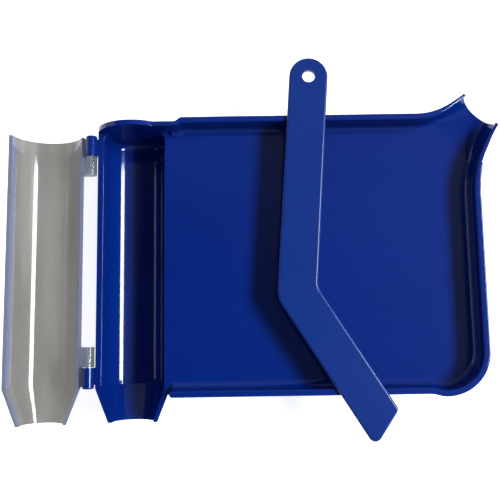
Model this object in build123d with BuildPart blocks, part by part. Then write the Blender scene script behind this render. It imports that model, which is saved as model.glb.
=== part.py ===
from build123d import *
from math import cos, radians, sin, sqrt, tan
import os

# Pill-counting tray: a flat counting area with a corner pour spout, a trough along its left
# side, a clear arched lid hinged beside the trough, and a loose cranked spatula.
# Millimetres. +Z is up and the tray stands on Z = 0. The trough's centre line is the Y axis,
# with its pouring end towards -Y and the counting area towards +X.

# ---------------------------------------------------------------- counting area
floor_top = 26.0
floor_thickness = 2.0
rim_top = 39.0
tray_half_depth = 73.05  # to the outer face of the front and back walls
tray_right = 183.7  # outer face of the right wall
side_wall = 3.3  # front and back walls
right_wall = 3.4
front_wall_left = 20.5  # left end of the front wall
back_step_left = 22.4  # the back wall steps out between these two
back_step_right = 27.4
corner_bow = 1.4  # the front wall bows out this far before its corner
bow_left = 152.5
bow_right = 160.6
corner_top = -52.0  # where the rounded front corner meets the right wall
inner_floor_radius = 4.0
outer_floor_radius = 4.5
rim_round = 0.8

# ---------------------------------------------------------------- corner spout
back_bend = 151.0  # X where the back wall starts to flare
right_bend = 28.0  # Y where the right wall starts to flare
back_lip = (177.3, 83.4)
right_lip = (194.7, 66.2)
back_lip_angle = 35.0  # direction of the back lip, from +X
right_lip_angle = 33.0  # direction of the right lip, from +Y
lip_wall = 1.7
mouth_overrun = 2.0  # the cutting sections start this far outside the mouth
spout_depth = 21.0  # the round spout runs out into the tray floor here
mouth_hollow = (11.0, 29.2, 10.8)  # half width, lowest point and corner radius
middle_hollow = (13.5, 26.9, 9.0)
inner_hollow = (18.0, 25.9, 3.9)
spout_block = 70.0  # wide enough to span the corner on both sides of the spout

# ---------------------------------------------------------------- trough
trough_rear = 70.9  # outer face of the closed end
trough_bend = -68.55  # the spout starts to narrow here
trough_front = -86.5
closed_end_wall = 2.5
lip_half_width = 19.9
lip_height = 1.6
lip_overhang = 1.2
lip_round = 0.4
trough_outer_bottom = -0.5  # trimmed at Z = 0 to a flat strip to stand on
trough_inner_half_width = 16.5
trough_inner_bottom = 2.0
trough_turn = 13.0  # the upright walls turn into the round bottom at this height
spout_half_width = 12.8
spout_overhang = 0.6
spout_outer_bottom = 12.0
spout_inner_half_width = 10.7
spout_inner_bottom = 14.0
spout_turn = 24.0
end_floor_radius = 3.5
arch_top = 42.0
arch_shoulder = 4.0  # X inside the arch where the level back rim starts
ledge_root = 15.0  # X inside the trough's wall where the ledge starts
ledge_front = -72.7

# ---------------------------------------------------------------- hinge
hinge_x = -23.8
hinge_z = 24.5
knuckle_radius = 3.1
knuckle_gap = 0.3
rear_knuckles = (45.35, 55.95, 67.35)  # lid knuckle's start, the joint, tray knuckle's end
front_knuckles = (-47.35, -58.15, -69.25)
knuckle_round = 0.8
web_top = 25.7
web_bottom = 22.3
web_setback = 2.2
pin_radius = 1.0
pin_interference = 0.02
pin_clearance = 0.05
pin_in_lid = 6.5
pin_end_room = 0.4
pin_chamfer = 0.2

# ---------------------------------------------------------------- lid
lid_gap = 0.3  # between the closed lid and the trough's rim
lid_wall = 1.8
lid_half_width = 19.9
lid_radius = 20.4
lid_rear = 67.05
lid_bend = -68.35
lid_front = -87.6
lid_front_half_width = 12.65
lid_front_drop = 1.2  # the crown falls this far at the narrow end
flange_reach = 3.0  # the flange stops this far from the hinge axis
flange_setback = 1.0  # and this far short of the tray knuckle's end
open_angle = 169.7  # the lid stands this far open

# ---------------------------------------------------------------- feet
foot_length = 26.0
foot_thickness = 5.0
foot_x = 158.0
foot_y = 44.0

# ---------------------------------------------------------------- spatula
spatula_width = 20.4
spatula_thickness = 2.6
handle_length = 114.6  # bend to hanging hole
blade_length = 80.7  # bend to the middle of the slanted end
crank_angle = 36.6
end_slant = 8.9  # the blade's left edge is this much longer than its right
hole_radius = 3.4
outer_bend_round = 14.0
inner_bend_round = 8.0
tip_round = 3.5
heel_round = 3.0
spatula_edge_round = 1.2
spatula_bend = (86.2, -21.0)
spatula_heading = 4.3  # the handle leans this far from +Y towards +X
spatula_gap = 0.05  # above the rims it lies on

# ---------------------------------------------------------------- modelling
overlap = 1.0  # fused shapes reach this far into each other, and cuts this far past a face
trace = 0.01  # cuts run this far past a tapering end, and edges this near a height count as on it

# ---------------------------------------------------------------- worked out
floor_bottom = floor_top - floor_thickness
lid_plane = floor_top + lid_gap
lid_centre = lid_plane - sqrt(lid_radius**2 - lid_half_width**2)
lid_crown = lid_centre + lid_radius
hinge_axis = Axis((hinge_x, 0, hinge_z), (0, 1, 0))

mouth_middle = ((back_lip[0] + right_lip[0]) / 2, (back_lip[1] + right_lip[1]) / 2)

os.makedirs("parts", exist_ok=True)


def across(y):
    """Plane across the trough at this Y, with +X to its right and +Z up."""
    return Plane(origin=(0, y, 0), x_dir=(1, 0, 0), z_dir=(0, -1, 0))


def across_spout(inward):
    """Plane across the corner spout, this far in from the middle of its mouth."""
    step = inward / sqrt(2)
    origin = (mouth_middle[0] - step, mouth_middle[1] - step, 0)
    return Plane(origin=origin, x_dir=(-1, 1, 0), z_dir=(1, 1, 0))


def trough_outside(half_width, turn, bottom, overhang):
    """Outer section of the trough: upright walls on a round bottom, under two square lips."""
    under = floor_top - lip_height
    root = half_width - overhang
    with BuildLine() as outline:
        Line((-root, under), (-root, turn))
        EllipticalCenterArc((0, turn), root, turn - bottom, start_angle=180, arc_size=180)
        Line((root, turn), (root, under))
        Polyline((root, under), (half_width, under), (half_width, floor_top))
        Line((half_width, floor_top), (-half_width, floor_top))
        Polyline((-half_width, floor_top), (-half_width, under), (-root, under))
    return outline.edges()


def trough_inside(half_width, turn, bottom):
    """Inner section of the trough, carried a little above its rim."""
    above = floor_top + overlap
    with BuildLine() as outline:
        Line((-half_width, above), (-half_width, turn))
        EllipticalCenterArc((0, turn), half_width, turn - bottom, start_angle=180, arc_size=180)
        Line((half_width, turn), (half_width, above))
        Line((half_width, above), (-half_width, above))
    return outline.edges()


def arch(half_width, base, crown):
    """Section of an arch on a level base line."""
    with BuildLine() as outline:
        ThreePointArc((-half_width, base), (0, crown), (half_width, base))
        Line((half_width, base), (-half_width, base))
    return outline.edges()


def spout_hollow(half_width, bottom, radius, grow):
    """Round-bottomed section across the corner spout, open above the rim."""
    side = half_width + grow
    low = bottom - grow
    above = rim_top + 3 * overlap
    with BuildLine() as outline:
        FilletPolyline((-side, above), (-side, low), (side, low), (side, above), radius=radius + grow)
        Line((side, above), (-side, above))
    return outline.edges()


def area_outline(side, end, left, back_left, lip_inset, overrun):
    """Plan of the counting area and its flared corner, set in from the outer faces."""
    front = -tray_half_depth + side
    back = tray_half_depth - side
    bowed = front - corner_bow
    right = tray_right - end
    right_way = (sin(radians(right_lip_angle)), cos(radians(right_lip_angle)))
    back_way = (cos(radians(back_lip_angle)), sin(radians(back_lip_angle)))
    slip = lip_inset / sqrt(2)
    right_end = (
        right_lip[0] - slip + overrun * right_way[0],
        right_lip[1] + slip + overrun * right_way[1],
    )
    back_end = (
        back_lip[0] + slip + overrun * back_way[0],
        back_lip[1] - slip + overrun * back_way[1],
    )
    with BuildLine() as outline:
        Line((left, front), (bow_left, front))
        Spline((bow_left, front), (bow_right, bowed), tangents=((1, 0), (1, 0)))
        EllipticalCenterArc(
            (bow_right, corner_top), right - bow_right, corner_top - bowed, start_angle=270, arc_size=90
        )
        Line((right, corner_top), (right, right_bend))
        Spline((right, right_bend), right_end, tangents=((0, 1), right_way))
        Line(right_end, back_end)
        Spline(back_end, (back_bend, back), tangents=((-back_way[0], -back_way[1]), (-1, 0)))
        Line((back_bend, back), (back_step_right, back))
        Spline((back_step_right, back), (back_step_left, back_left), tangents=((-1, 0), (-1, 0)))
        Line((back_step_left, back_left), (left, back_left))
        Line((left, back_left), (left, front))
    return outline.edges()


def spout_fill(grow):
    """What a round-bottomed spout, grown by this much, leaves of a block around it."""
    with BuildPart() as fill:
        with BuildSketch(across_spout(-mouth_overrun)):
            with Locations((0, floor_bottom - overlap)):
                Rectangle(spout_block, rim_top - floor_bottom + overlap, align=(Align.CENTER, Align.MIN))
        extrude(amount=-mouth_overrun - spout_depth)
        with BuildSketch(across_spout(-mouth_overrun - overlap)):
            make_face(spout_hollow(*mouth_hollow, grow))
        with BuildSketch(across_spout(spout_depth / 2)):
            make_face(spout_hollow(*middle_hollow, grow))
        with BuildSketch(across_spout(spout_depth + overlap)):
            make_face(spout_hollow(*inner_hollow, grow))
        loft(mode=Mode.SUBTRACT)
    return fill.part


# Hollow of the counting area, with a rounded floor edge
with BuildPart() as area_hollow:
    with BuildSketch(Plane.XY.offset(floor_top)):
        make_face(
            area_outline(
                side_wall,
                right_wall,
                arch_shoulder,
                trough_rear - closed_end_wall,
                lip_wall,
                mouth_overrun,
            )
        )
    extrude(amount=arch_top - floor_top + overlap)
    floor_edges = area_hollow.edges().group_by(Axis.Z)[0]
    fillet(floor_edges.sort_by(Axis.X)[1:], inner_floor_radius)
    add(spout_fill(0), mode=Mode.SUBTRACT)

# Hollow of the trough, rounded where it meets its closed end
with BuildPart() as trough_hollow:
    with BuildSketch(across(trough_rear - closed_end_wall)):
        make_face(trough_inside(trough_inner_half_width, trough_turn, trough_inner_bottom))
    extrude(amount=trough_rear - closed_end_wall - trough_bend)
    rear_edges = trough_hollow.edges().group_by(Axis.Y)[-1]
    fillet(rear_edges.sort_by(Axis.Z)[:-1], end_floor_radius)
    with BuildSketch(across(trough_bend)):
        make_face(trough_inside(trough_inner_half_width, trough_turn, trough_inner_bottom))
    with BuildSketch(across(trough_front - trace)):
        make_face(trough_inside(spout_inner_half_width, spout_turn, spout_inner_bottom))
    loft()

with BuildPart() as tray:
    # Counting area, solid for now, with a rounded underside
    with BuildSketch(Plane.XY.offset(floor_bottom)):
        make_face(area_outline(0, 0, front_wall_left, trough_rear, 0, 0))
    extrude(amount=rim_top - floor_bottom)
    under_edges = tray.edges().group_by(Axis.Z)[0]
    fillet(under_edges.sort_by(Axis.X)[1:], outer_floor_radius)
    add(spout_fill(floor_thickness), mode=Mode.SUBTRACT)
    add(area_hollow.part, mode=Mode.SUBTRACT)

    # Round end of the front wall beside the trough
    with BuildSketch(Plane.XY.offset(floor_top)):
        with Locations((front_wall_left, -tray_half_depth)):
            Rectangle(side_wall / 2, side_wall, align=(Align.MIN, Align.MIN))
        with Locations((front_wall_left + side_wall / 2, -tray_half_depth + side_wall / 2)):
            Circle(side_wall / 2, mode=Mode.SUBTRACT)
    extrude(amount=rim_top - floor_top, mode=Mode.SUBTRACT)

    # Ledge between the counting area and the trough
    with BuildSketch(Plane.XY.offset(floor_bottom)):
        with Locations((ledge_root, ledge_front)):
            Rectangle(
                front_wall_left + overlap - ledge_root,
                trough_rear - ledge_front,
                align=(Align.MIN, Align.MIN),
            )
    extrude(amount=floor_thickness)

    # Trough: a straight run, then a spout that narrows to the pouring end
    with BuildSketch(across(trough_rear)):
        make_face(trough_outside(lip_half_width, trough_turn, trough_outer_bottom, lip_overhang))
    extrude(amount=trough_rear - trough_bend)
    with BuildSketch(across(trough_bend)):
        make_face(trough_outside(lip_half_width, trough_turn, trough_outer_bottom, lip_overhang))
    with BuildSketch(across(trough_front)):
        make_face(trough_outside(spout_half_width, spout_turn, spout_outer_bottom, spout_overhang))
    loft()
    add(trough_hollow.part, mode=Mode.SUBTRACT)
    lip_edges = tray.edges().filter_by_position(Axis.Z, floor_top - trace, floor_top + trace)
    outer_lip = lip_edges.sort_by_distance((-lip_half_width, 0, floor_top))[0]
    inner_lip = lip_edges.sort_by_distance((-trough_inner_half_width, 0, floor_top))[0]
    ledge_edge = lip_edges.sort_by_distance((trough_inner_half_width, 0, floor_top))[0]
    fillet([outer_lip, inner_lip, ledge_edge], lip_round)

    # Flat strip along the underside of the trough
    with BuildSketch():
        Rectangle(2 * lip_half_width, 2 * (trough_rear - trough_front))
    extrude(amount=2 * trough_outer_bottom, mode=Mode.SUBTRACT)

    # Arched end wall, carried on at rim height to the back wall
    with BuildSketch(across(trough_rear)):
        make_face(arch(lip_half_width, floor_top, arch_top))
        with Locations((arch_shoulder, floor_bottom)):
            Rectangle(
                front_wall_left + overlap - arch_shoulder,
                rim_top - floor_bottom,
                align=(Align.MIN, Align.MIN),
            )
        with Locations((0, floor_bottom)):
            Rectangle(
                2 * (trough_inner_half_width + lip_round), floor_thickness, align=(Align.CENTER, Align.MIN)
            )
    extrude(amount=closed_end_wall)

    # Softened rim
    rim_edges = tray.edges().filter_by_position(Axis.Z, rim_top - trace, rim_top + trace)
    middle_x = (back_step_right + back_bend) / 2
    back_outside = rim_edges.sort_by_distance((middle_x, tray_half_depth, rim_top))[0]
    back_inside = rim_edges.sort_by_distance((middle_x, tray_half_depth - side_wall, rim_top))[0]
    front_outside = rim_edges.sort_by_distance((middle_x, -tray_half_depth, rim_top))[0]
    front_inside = rim_edges.sort_by_distance((middle_x, side_wall - tray_half_depth, rim_top))[0]
    fillet([back_outside, back_inside, front_outside, front_inside], rim_round)

    # Feet under the far side of the counting area
    with BuildSketch():
        with Locations((foot_x, foot_y), (foot_x, -foot_y)):
            SlotOverall(foot_length, foot_thickness)
    extrude(amount=floor_bottom + overlap)

    # Hinge knuckles on their webs
    for joint_y, end_y in (rear_knuckles[1:], front_knuckles[1:]):
        outward = 1 if end_y > joint_y else -1
        knuckle_length = abs(end_y - joint_y)
        with BuildSketch(across(joint_y)):
            with Locations((hinge_x, hinge_z)):
                Circle(knuckle_radius)
        extrude(amount=-outward * knuckle_length)
        outer_rim = tray.edges().filter_by(GeomType.CIRCLE).sort_by_distance((hinge_x, end_y, hinge_z))[0]
        fillet(outer_rim, knuckle_round)
        with BuildSketch(across(joint_y)):
            with Locations((hinge_x, web_bottom)):
                Rectangle(
                    -hinge_x - lip_half_width + lip_overhang + overlap / 2,
                    web_top - web_bottom,
                    align=(Align.MIN, Align.MIN),
                )
        extrude(amount=-outward * (knuckle_length - web_setback))
        with BuildSketch(across(joint_y)):
            with Locations((hinge_x, hinge_z)):
                Circle(pin_radius - pin_interference)
        extrude(amount=-outward * knuckle_length, mode=Mode.SUBTRACT)

tray.part.label = "tray"
export_step(tray.part, "parts/tray.step")

# Clear lid, made shut over the trough and then swung open about its hinge
with BuildPart() as lid:
    with BuildSketch(across(lid_rear)):
        make_face(arch(lid_half_width, lid_plane, lid_crown))
    extrude(amount=lid_rear - lid_bend)
    with BuildSketch(across(lid_bend)):
        make_face(arch(lid_half_width, lid_plane, lid_crown))
    with BuildSketch(across(lid_front)):
        make_face(arch(lid_front_half_width, lid_plane, lid_crown - lid_front_drop))
    loft()

    # Flanges and knuckles on the hinge side
    for start_y, joint_y, end_y in (rear_knuckles, front_knuckles):
        outward = 1 if joint_y > start_y else -1
        flange_length = abs(end_y - start_y) - flange_setback
        knuckle_length = abs(joint_y - start_y) - knuckle_gap
        with BuildSketch(across(start_y)):
            with Locations((hinge_x + flange_reach, lid_plane)):
                Rectangle(
                    -hinge_x - flange_reach - lid_half_width + overlap,
                    lid_wall,
                    align=(Align.MIN, Align.MIN),
                )
        extrude(amount=-outward * flange_length)
        with BuildSketch(across(start_y)):
            with Locations((hinge_x, hinge_z)):
                Circle(knuckle_radius)
            with Locations((hinge_x, lid_plane)):
                Rectangle(
                    -hinge_x - lid_half_width + overlap,
                    hinge_z + knuckle_radius - lid_plane,
                    align=(Align.MIN, Align.MIN),
                )
        extrude(amount=-outward * knuckle_length)
        with BuildSketch(across(start_y + outward * knuckle_length)):
            with Locations((hinge_x, hinge_z)):
                Circle(pin_radius + pin_clearance)
        extrude(amount=outward * (pin_in_lid + pin_end_room), mode=Mode.SUBTRACT)

    # Hollow
    with BuildSketch(across(lid_rear)):
        make_face(arch(lid_half_width - lid_wall, lid_plane, lid_crown - lid_wall))
    extrude(amount=lid_rear - lid_bend, mode=Mode.SUBTRACT)
    with BuildSketch(across(lid_bend)):
        make_face(arch(lid_half_width - lid_wall, lid_plane, lid_crown - lid_wall))
    with BuildSketch(across(lid_front)):
        make_face(
            arch(lid_front_half_width - lid_wall, lid_plane, lid_crown - lid_front_drop - lid_wall)
        )
    loft(mode=Mode.SUBTRACT)

open_lid = lid.part.rotate(hinge_axis, -open_angle)
open_lid.label = "lid"
export_step(open_lid, "parts/lid.step")

# Hinge pins, pressed into the tray's knuckles and running in the lid's
with BuildPart() as hinge_pin_rear:
    with BuildSketch(across(rear_knuckles[2])):
        with Locations((hinge_x, hinge_z)):
            Circle(pin_radius)
    extrude(amount=rear_knuckles[2] - rear_knuckles[1] + knuckle_gap + pin_in_lid)
    chamfer(hinge_pin_rear.edges().filter_by(GeomType.CIRCLE), pin_chamfer)

with BuildPart() as hinge_pin_front:
    with BuildSketch(across(front_knuckles[2])):
        with Locations((hinge_x, hinge_z)):
            Circle(pin_radius)
    extrude(amount=-(front_knuckles[1] - front_knuckles[2] + knuckle_gap + pin_in_lid))
    chamfer(hinge_pin_front.edges().filter_by(GeomType.CIRCLE), pin_chamfer)

hinge_pin_rear.part.label = "hinge_pin_rear"
export_step(hinge_pin_rear.part, "parts/hinge_pin_rear.step")
hinge_pin_front.part.label = "hinge_pin_front"
export_step(hinge_pin_front.part, "parts/hinge_pin_front.step")

# Spatula, drawn with its handle up the page and lying across the two rims
spatula_plane = Plane(
    origin=(*spatula_bend, rim_top + spatula_gap),
    x_dir=(cos(radians(spatula_heading)), -sin(radians(spatula_heading)), 0),
    z_dir=(0, 0, 1),
)
half_spatula = spatula_width / 2
mitre = half_spatula * tan(radians(crank_angle / 2))
blade_way = (sin(radians(crank_angle)), -cos(radians(crank_angle)))
blade_side = (-blade_way[1], blade_way[0])


def on_blade(along, aside):
    """Point this far down the blade and this far to the right of its middle."""
    return (
        blade_way[0] * along + blade_side[0] * aside,
        blade_way[1] * along + blade_side[1] * aside,
    )


left_tip = on_blade(blade_length + end_slant / 2, -half_spatula)
right_tip = on_blade(blade_length - end_slant / 2, half_spatula)

with BuildPart() as spatula:
    with BuildSketch(spatula_plane) as spatula_plan:
        with BuildLine():
            Line((half_spatula, mitre), (half_spatula, handle_length))
            ThreePointArc(
                (half_spatula, handle_length),
                (0, handle_length + half_spatula),
                (-half_spatula, handle_length),
            )
            Polyline((-half_spatula, handle_length), (-half_spatula, -mitre), left_tip)
            Polyline(left_tip, right_tip, (half_spatula, mitre))
        make_face()
        fillet(spatula_plan.vertices().sort_by_distance((-half_spatula, -mitre))[0], outer_bend_round)
        fillet(spatula_plan.vertices().sort_by_distance((half_spatula, mitre))[0], inner_bend_round)
        fillet(spatula_plan.vertices().sort_by_distance(left_tip)[0], tip_round)
        fillet(spatula_plan.vertices().sort_by_distance(right_tip)[0], heel_round)
        with Locations((0, handle_length)):
            Circle(hole_radius, mode=Mode.SUBTRACT)
    extrude(amount=spatula_thickness)
    hole_centre = spatula_plane.from_local_coords((0, handle_length, spatula_thickness / 2))
    upright = spatula.edges().filter_by(Axis.Z)
    hole_and_rims = spatula.edges().sort_by_distance(hole_centre)[:3]
    fillet(spatula.edges() - upright - hole_and_rims, spatula_edge_round)

spatula.part.label = "spatula"
export_step(spatula.part, "parts/spatula.step")
print("lid opens", round(open_angle, 3), "degrees, hanging hole at", hole_centre)
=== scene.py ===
from math import cos, radians, sin

import bpy
from mathutils import Matrix, Vector


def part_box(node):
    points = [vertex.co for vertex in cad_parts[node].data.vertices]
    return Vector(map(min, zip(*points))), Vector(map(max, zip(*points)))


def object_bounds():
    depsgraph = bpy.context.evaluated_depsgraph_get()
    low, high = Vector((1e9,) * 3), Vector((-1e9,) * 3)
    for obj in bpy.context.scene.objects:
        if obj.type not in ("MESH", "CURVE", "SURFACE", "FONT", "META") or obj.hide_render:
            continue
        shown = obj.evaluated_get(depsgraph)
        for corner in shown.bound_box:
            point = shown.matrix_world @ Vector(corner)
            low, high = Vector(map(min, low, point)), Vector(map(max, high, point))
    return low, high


# Pill-counting tray with a clear hinged lid and a loose spatula, in metres. The frame's origin
# is on the table under the trough, +X runs across the counting area and +Z is up.

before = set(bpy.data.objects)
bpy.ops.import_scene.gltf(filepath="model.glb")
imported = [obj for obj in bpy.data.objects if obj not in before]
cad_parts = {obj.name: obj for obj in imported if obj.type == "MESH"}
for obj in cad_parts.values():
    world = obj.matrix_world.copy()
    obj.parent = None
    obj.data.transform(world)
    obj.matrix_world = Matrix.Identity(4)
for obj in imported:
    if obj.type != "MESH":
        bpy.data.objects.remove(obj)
cad_box = [list(corner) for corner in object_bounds()]
tray_low, tray_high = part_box("tray")
lid_low, lid_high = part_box("lid")
scene = bpy.context.scene

# ---------------------------------------------------------------- camera
camera_height = 0.367
camera_x = 0.0624
camera_y = -0.0384
camera_tilt = 6.9  # degrees from straight down, towards +Y
camera_turn = -0.87  # degrees about its own view
camera_lens = 46.1
camera_sensor = 36.0
camera_near = 0.01

# ---------------------------------------------------------------- lamps
lamp_colour = (0.86, 0.94, 1.0)
key_slant = 44.0  # degrees off the vertical, towards +X
key_shift = 0.07  # towards +Y
key_distance = 1.6
key_size = (0.36, 0.82)  # up its slope, and along Y
key_power = 30.0
fill_slant = 72.0  # degrees off the vertical, towards -X
fill_distance = 1.5
fill_size = (0.7, 1.6)
fill_power = 3.0

# ---------------------------------------------------------------- surroundings
sky_colour = (0.88, 0.95, 1.08)
dim_towards = (-0.45, -0.25, 0.0)  # the direction, seen in plan, in which the studio is dimmest
dim_reach = (0.4, 0.95)  # it lightens between these distances from there, in plan
dim_strength = 0.025
light_strength = 0.28
floor_reach = 3.0
floor_drop = 0.0002  # below the object's lowest point
floor_colour = (0.9, 0.9, 0.9)
floor_roughness = 0.9
floor_glow = 0.8

# ---------------------------------------------------------------- blue plastic
tray_deep = (0.0013, 0.0195, 0.2)
tray_pale = (0.002, 0.023, 0.222)
tray_roughness = 0.08
tray_grain = 0.000006  # height of the moulded grain
tray_scuff_turn = 35  # degrees from +X
tray_edge_wear = 0.0  # added to the roughness where a face turns away from level
spatula_deep = (0.004, 0.031, 0.228)
spatula_pale = (0.006, 0.035, 0.245)
spatula_roughness = 0.22
spatula_grain = 0.000008
spatula_scuff_turn = 80
spatula_edge_wear = 0.22
worn_facing = (0.8, 0.98)  # upward normal up to which a face is wholly worn, and from which it isn't
gloss_clouds = (0.25, 0.75)  # where in the clouds' noise the roughness changes over
gloss_swing = (0.85, 1.2)  # between these multiples of itself
noise_middle = (0.3, 0.7)  # the part of a noise's range that counts
cloud_share = 0.75  # of the colour variation, the rest being mottle
cloud_scale = 14.0  # features to the metre, as in every scale below
cloud_detail = 4.0
mottle_scale = 420.0
grain_scale = 900.0
wave_scale = 26.0
wave_height = 0.00006
scuff_scale = 1400.0  # across the scuffs
scuff_length_scale = 18.0  # along them
scuff_patch_scale = 22.0
scuff_hairs = (0.6, 0.72)  # where in the hairs' noise a scuff starts and is at its full
scuff_patches = (0.45, 0.65)  # and the same in the patches' noise, where scuffs gather
scuff_dimming = 0.9  # a scuff's colour is the pale one times this
scuff_whitening = 0.012  # and then with this much white added
scuff_share = 0.2  # of the way to the scuffed colour
scuff_roughness = 0.03
scuff_depth = 0.000002

# ---------------------------------------------------------------- clear plastic
smoke = (0.25, 0.236, 0.218)
cloud = (0.335, 0.318, 0.29)
# A blue reflection painted on the lid's steep rims and hinged side.
painted_blue_reflection = (0.23, 0.255, 0.375)
# A pale blue glow painted on the lid's moulded edges.
painted_edge_glow = (0.29, 0.31, 0.43)
lid_roughness = (0.05, 0.14)  # where the haze is least and most
lid_transmission = (0.76, 0.56)
lid_index = 1.49
painted_glow_share = 0.4  # taken off the transmission on the moulded edges, so that the painted glow shows there
edge_step = 0.001  # the painted edge glow comes in over this height
edge_facing = (0.93, 0.97)  # upward normal at which a face starts to be an edge, and is wholly one
rim_facing = (0.92, 0.985)  # sideways normal at which the steep rims start and are at their full
side_start = (0.0125, 0.0095)  # the painted blue reflection comes in between these, from the lid's +X end
side_end = (0.0085, 0.0065)  # and goes out between these
haze_scale = 60.0
haze_stretch = (1, 0.15, 1)
haze_detail = 5.0
haze_tint = (0.38, 0.62)  # where in the haze's noise the colour changes over
haze_clearness = (0.3, 1.0)  # where in the haze and scuffs together the transmission does
haze_gloss = (0.3, 0.8)  # and where in the haze's noise the roughness does
speck_scale = 700.0
speck_height = 0.000004
lid_scuff_turn = 88
lid_scuff_scale = 1100.0
lid_scuff_share = 0.3
lid_wave_scale = 45.0
lid_wave_stretch = (1, 0.3, 1)
lid_shade = (0.72, 0.72, 0.71)  # what a face of the lid lets through of a lamp

# ---------------------------------------------------------------- steel
steel_bright = (0.7, 0.71, 0.73)
steel_stained = (0.52, 0.51, 0.5)
steel_roughness = (0.14, 0.3)
stain_scale = 300.0
stain_patches = (0.4, 0.8)
line_scale = 9000.0
line_stretch = (1, 0.02, 1)
line_height = 0.000003


# ---------------------------------------------------------------- nodes
def new_material(name):
    """Empty node material with its output."""
    material = bpy.data.materials.new(name)
    material.use_nodes = True
    material.node_tree.nodes.clear()
    output = material.node_tree.nodes.new("ShaderNodeOutputMaterial")
    return material, material.node_tree, output


def principled(tree, colour, roughness, ior=1.5, metallic=0.0):
    """Principled shader with its uniform values set on its own sockets."""
    shader = tree.nodes.new("ShaderNodeBsdfPrincipled")
    shader.inputs["Base Color"].default_value = (*colour, 1)
    shader.inputs["Roughness"].default_value = roughness
    shader.inputs["IOR"].default_value = ior
    shader.inputs["Metallic"].default_value = metallic
    return shader


def place(tree, turn=0.0, stretch=(1, 1, 1)):
    """Position on the object in metres, turned about +Z in degrees and stretched."""
    coordinates = tree.nodes.new("ShaderNodeTexCoord")
    mapping = tree.nodes.new("ShaderNodeMapping")
    mapping.inputs["Rotation"].default_value[2] = radians(turn)
    mapping.inputs["Scale"].default_value = stretch
    tree.links.new(coordinates.outputs["Object"], mapping.inputs["Vector"])
    return mapping.outputs["Vector"]


def axes(tree, kind):
    """X, Y and Z outputs of the object's own position or normal."""
    coordinates = tree.nodes.new("ShaderNodeTexCoord")
    parts = tree.nodes.new("ShaderNodeSeparateXYZ")
    tree.links.new(coordinates.outputs[kind], parts.inputs["Vector"])
    return parts.outputs


def noise(tree, vector, scale, detail=2.0):
    """Noise with this many features to the metre, from 0 to 1."""
    texture = tree.nodes.new("ShaderNodeTexNoise")
    texture.inputs["Scale"].default_value = scale
    texture.inputs["Detail"].default_value = detail
    tree.links.new(vector, texture.inputs["Vector"])
    return texture.outputs["Fac"]


def remap(tree, value, from_low, from_high, to_low, to_high):
    """Value carried smoothly from one range to another and held at its ends."""
    node = tree.nodes.new("ShaderNodeMapRange")
    node.interpolation_type = "SMOOTHSTEP"
    node.inputs["From Min"].default_value = from_low
    node.inputs["From Max"].default_value = from_high
    node.inputs["To Min"].default_value = to_low
    node.inputs["To Max"].default_value = to_high
    tree.links.new(value, node.inputs["Value"])
    return node.outputs["Result"]


def mask(tree, value, start, end):
    """0 up to where the value is start, and 1 from where it is end."""
    return remap(tree, value, start, end, 0.0, 1.0)


def combine(tree, operation, first, second):
    """Two values combined by a math operation."""
    node = tree.nodes.new("ShaderNodeMath")
    node.operation = operation
    for socket, value in zip(node.inputs, (first, second)):
        if isinstance(value, float):
            socket.default_value = value
        else:
            tree.links.new(value, socket)
    return node.outputs["Value"]


def blend_colours(tree, factor, first, second):
    """Colour between two, either of which may be a colour or a socket."""
    node = tree.nodes.new("ShaderNodeMix")
    node.data_type = "RGBA"
    tree.links.new(factor, node.inputs["Factor"])
    colour_inputs = [socket for socket in node.inputs if socket.type == "RGBA"]
    for socket, colour in zip(colour_inputs, (first, second)):
        if isinstance(colour, tuple):
            socket.default_value = (*colour, 1)
        else:
            tree.links.new(colour, socket)
    return next(socket for socket in node.outputs if socket.type == "RGBA")


def bump(tree, height, distance, normal=None):
    """Bump from a height of 0 to 1 that stands for this many metres."""
    node = tree.nodes.new("ShaderNodeBump")
    node.inputs["Distance"].default_value = distance
    tree.links.new(height, node.inputs["Height"])
    if normal:
        tree.links.new(normal, node.inputs["Normal"])
    return node.outputs["Normal"]


def streaks(tree, turn, fineness):
    """Sparse hairline scuffs that run at this angle from +X, from 0 to 1."""
    along = place(tree, -turn, (scuff_length_scale, fineness, fineness))
    hairs = mask(tree, noise(tree, along, 1.0, 1.0), *scuff_hairs)
    patches = mask(tree, noise(tree, place(tree), scuff_patch_scale), *scuff_patches)
    return combine(tree, "MULTIPLY", hairs, patches)


# ---------------------------------------------------------------- studio
def softbox(name, aim, azimuth, slant, distance, size, power):
    """Area light this far from a point, slant degrees off the vertical, facing it."""
    data = bpy.data.lights.new(name, "AREA")
    data.shape = "RECTANGLE"
    data.size_y, data.size = size
    data.energy = power
    data.color = lamp_colour
    light = bpy.data.objects.new(name, data)
    direction = Vector(
        (
            cos(radians(azimuth)) * sin(radians(slant)),
            sin(radians(azimuth)) * sin(radians(slant)),
            cos(radians(slant)),
        )
    )
    light.location = Vector(aim) + direction * distance
    light.rotation_mode = "QUATERNION"
    light.rotation_quaternion = direction.to_track_quat("Z", "Y")
    light.visible_camera = False
    scene.collection.objects.link(light)


camera_data = bpy.data.cameras.new("camera")
camera_data.lens = camera_lens
camera_data.sensor_width = camera_sensor
camera_data.clip_start = camera_near
camera = bpy.data.objects.new("camera", camera_data)
camera.matrix_world = (
    Matrix.Translation((camera_x, camera_y, camera_height))
    @ Matrix.Rotation(radians(camera_tilt), 4, "X")
    @ Matrix.Rotation(radians(camera_turn), 4, "Z")
)
scene.collection.objects.link(camera)
scene.camera = camera

middle = (tray_low + tray_high) / 2
key_aim = middle + Vector((0, key_shift, 0))
softbox("key", key_aim, 0, key_slant, key_distance, key_size, key_power)
softbox("fill", middle, 180, fill_slant, fill_distance, fill_size, fill_power)

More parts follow.
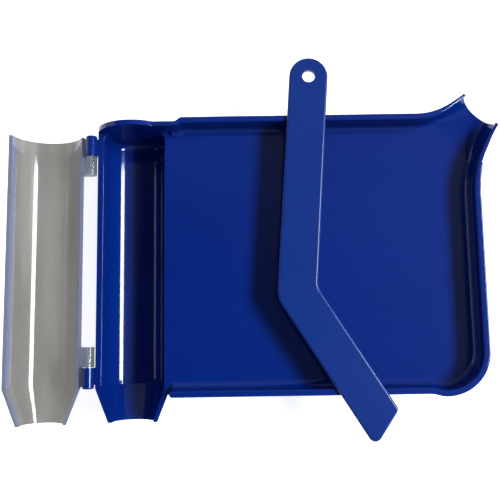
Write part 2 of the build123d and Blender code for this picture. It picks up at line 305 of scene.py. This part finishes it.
# The studio is dim above the trough and to its left, and lighter everywhere else.
world = bpy.data.worlds.new("studio")
scene.world = world
world.use_nodes = True
world_tree = world.node_tree
sky_direction = world_tree.nodes.new("ShaderNodeTexCoord").outputs["Generated"]
flat = world_tree.nodes.new("ShaderNodeVectorMath")
flat.operation = "MULTIPLY"
flat.inputs[1].default_value = (1, 1, 0)
away = world_tree.nodes.new("ShaderNodeVectorMath")
away.operation = "DISTANCE"
away.inputs[1].default_value = dim_towards
world_tree.links.new(sky_direction, flat.inputs[0])
world_tree.links.new(flat.outputs["Vector"], away.inputs[0])
sky = world_tree.nodes["Background"]
sky.inputs["Color"].default_value = (*sky_colour, 1)
sky_strength = remap(world_tree, away.outputs["Value"], *dim_reach, dim_strength, light_strength)
world_tree.links.new(sky_strength, sky.inputs["Strength"])

floor_mesh = bpy.data.meshes.new("floor")
floor_mesh.from_pydata(
    [(x * floor_reach, y * floor_reach, 0) for x, y in ((-1, -1), (1, -1), (1, 1), (-1, 1))],
    [],
    [(0, 1, 2, 3)],
)
floor = bpy.data.objects.new("floor", floor_mesh)
floor.location.z = cad_box[0][2] - floor_drop
scene.collection.objects.link(floor)
floor_material, floor_tree, floor_output = new_material("floor_white")
floor_shader = principled(floor_tree, floor_colour, floor_roughness)
floor_shader.inputs["Emission Color"].default_value = (1, 1, 1, 1)
floor_shader.inputs["Emission Strength"].default_value = floor_glow
floor_tree.links.new(floor_shader.outputs["BSDF"], floor_output.inputs["Surface"])
floor_mesh.materials.append(floor_material)


# ---------------------------------------------------------------- materials
def moulded_plastic(name, deep, pale, roughness, grain, scuff_turn, edge_wear):
    """Opaque moulded plastic: cloudy colour, fine grain, slow waves, scuffs and dull edges."""
    material, tree, output = new_material(name)
    shader = principled(tree, deep, roughness)

    clouds = noise(tree, place(tree), cloud_scale, cloud_detail)
    mottle = noise(tree, place(tree), mottle_scale)
    scuffs = streaks(tree, scuff_turn, scuff_scale)
    cloudiness = combine(
        tree,
        "ADD",
        remap(tree, clouds, *noise_middle, 0.0, cloud_share),
        remap(tree, mottle, *noise_middle, 0.0, 1.0 - cloud_share),
    )
    body = blend_colours(tree, cloudiness, deep, pale)
    scuffed = tuple(channel * scuff_dimming + scuff_whitening for channel in pale)
    faint_scuffs = combine(tree, "MULTIPLY", scuffs, scuff_share)
    tree.links.new(blend_colours(tree, faint_scuffs, body, scuffed), shader.inputs["Base Color"])

    worn = combine(tree, "MULTIPLY", scuffs, scuff_roughness)
    gloss = remap(
        tree, clouds, *gloss_clouds, roughness * gloss_swing[0], roughness * gloss_swing[1]
    )
    rubbed = remap(tree, axes(tree, "Normal")["Z"], *worn_facing, edge_wear, 0.0)
    dulled = combine(tree, "ADD", worn, rubbed)
    tree.links.new(combine(tree, "ADD", gloss, dulled), shader.inputs["Roughness"])

    waves = bump(tree, noise(tree, place(tree), wave_scale, 1.0), wave_height)
    grainy = bump(tree, noise(tree, place(tree), grain_scale), grain, waves)
    tree.links.new(bump(tree, scuffs, -scuff_depth, grainy), shader.inputs["Normal"])
    tree.links.new(shader.outputs["BSDF"], output.inputs["Surface"])
    return material


def clear_plastic(name):
    """Smoked clear plastic with a light haze, a painted pale glow on its moulded edges and a painted
    blue reflection on its steep rims, which lets lamps through.
    """
    material, tree, output = new_material(name)
    shader = principled(tree, smoke, lid_roughness[0], ior=lid_index)
    facing = axes(tree, "Normal")
    spot = axes(tree, "Object")

    # The edges, where a pale blue glow is painted, are the faces that look up from the open lid's
    # upper half.
    upper_half = (lid_low.z + lid_high.z) / 2
    edges = combine(
        tree,
        "MULTIPLY",
        mask(tree, facing["Z"], *edge_facing),
        mask(tree, spot["Z"], upper_half, upper_half + edge_step),
    )

    # A blue reflection is painted on the steep rims and the hinged side, standing in for the blue
    # tray and sky seen in them at a glancing angle.
    rims = mask(tree, combine(tree, "ABSOLUTE", facing["X"], 0.0), *rim_facing)
    side_rise = mask(tree, spot["X"], lid_high.x - side_start[0], lid_high.x - side_start[1])
    side_fall = remap(
        tree, spot["X"], lid_high.x - side_end[0], lid_high.x - side_end[1], 1.0, 0.0
    )
    hinged_side = combine(tree, "MULTIPLY", side_rise, side_fall)
    steep = combine(tree, "MAXIMUM", rims, hinged_side)

    haze = noise(tree, place(tree, 0, haze_stretch), haze_scale, haze_detail)
    clouded = blend_colours(tree, mask(tree, haze, *haze_tint), smoke, cloud)
    # Painted reflection: the steep rims and the hinged side turn blue.
    tint = blend_colours(tree, steep, clouded, painted_blue_reflection)
    # Painted glow: the edges turn paler and bluer and let less through.
    tree.links.new(blend_colours(tree, edges, tint, painted_edge_glow), shader.inputs["Base Color"])

    scuffs = streaks(tree, lid_scuff_turn, lid_scuff_scale)
    faint_scuffs = combine(tree, "MULTIPLY", scuffs, lid_scuff_share)
    cloudiness = combine(tree, "ADD", haze, faint_scuffs)
    through = remap(tree, cloudiness, *haze_clearness, *lid_transmission)
    edge_loss = combine(tree, "MULTIPLY", edges, painted_glow_share)
    transmission = combine(tree, "SUBTRACT", through, edge_loss)
    tree.links.new(transmission, shader.inputs["Transmission Weight"])
    roughness = remap(tree, haze, *haze_gloss, *lid_roughness)
    tree.links.new(roughness, shader.inputs["Roughness"])

    long_waves = noise(tree, place(tree, 0, lid_wave_stretch), lid_wave_scale, 1.0)
    waves = bump(tree, long_waves, wave_height)
    specks = noise(tree, place(tree), speck_scale)
    tree.links.new(bump(tree, specks, speck_height, waves), shader.inputs["Normal"])

    clear = tree.nodes.new("ShaderNodeBsdfTransparent")
    clear.inputs["Color"].default_value = (*lid_shade, 1)
    path = tree.nodes.new("ShaderNodeLightPath")
    mix = tree.nodes.new("ShaderNodeMixShader")
    tree.links.new(path.outputs["Is Shadow Ray"], mix.inputs["Fac"])
    tree.links.new(shader.outputs["BSDF"], mix.inputs[1])
    tree.links.new(clear.outputs["BSDF"], mix.inputs[2])
    tree.links.new(mix.outputs["Shader"], output.inputs["Surface"])
    return material


def drawn_steel(name):
    """Bright wire with drawing lines along Y."""
    material, tree, output = new_material(name)
    shader = principled(tree, steel_bright, steel_roughness[0], metallic=1.0)
    lines = noise(tree, place(tree, 0, line_stretch), line_scale)
    stain = mask(tree, noise(tree, place(tree), stain_scale), *stain_patches)
    colour = blend_colours(tree, stain, steel_bright, steel_stained)
    tree.links.new(colour, shader.inputs["Base Color"])
    roughness = remap(tree, lines, *noise_middle, *steel_roughness)
    tree.links.new(roughness, shader.inputs["Roughness"])
    tree.links.new(bump(tree, lines, line_height), shader.inputs["Normal"])
    tree.links.new(shader.outputs["BSDF"], output.inputs["Surface"])
    return material


tray_blue = moulded_plastic(
    "tray_blue",
    tray_deep,
    tray_pale,
    tray_roughness,
    tray_grain,
    tray_scuff_turn,
    tray_edge_wear,
)
spatula_blue = moulded_plastic(
    "spatula_blue",
    spatula_deep,
    spatula_pale,
    spatula_roughness,
    spatula_grain,
    spatula_scuff_turn,
    spatula_edge_wear,
)
lid_clear = clear_plastic("lid_clear")
steel = drawn_steel("pin_steel")
finishes = {
    "tray": (tray_blue, "tray_plastic"),
    "spatula": (spatula_blue, "spatula_plastic"),
    "lid": (lid_clear, "clear_plastic"),
    "hinge_pin_rear": (steel, "pin_steel"),
    "hinge_pin_front": (steel, "pin_steel"),
}
for node, (material, slot) in finishes.items():
    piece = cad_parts[node]
    piece.data.materials.clear()
    piece.data.materials.append(material)

scene.view_settings.view_transform = "Standard"
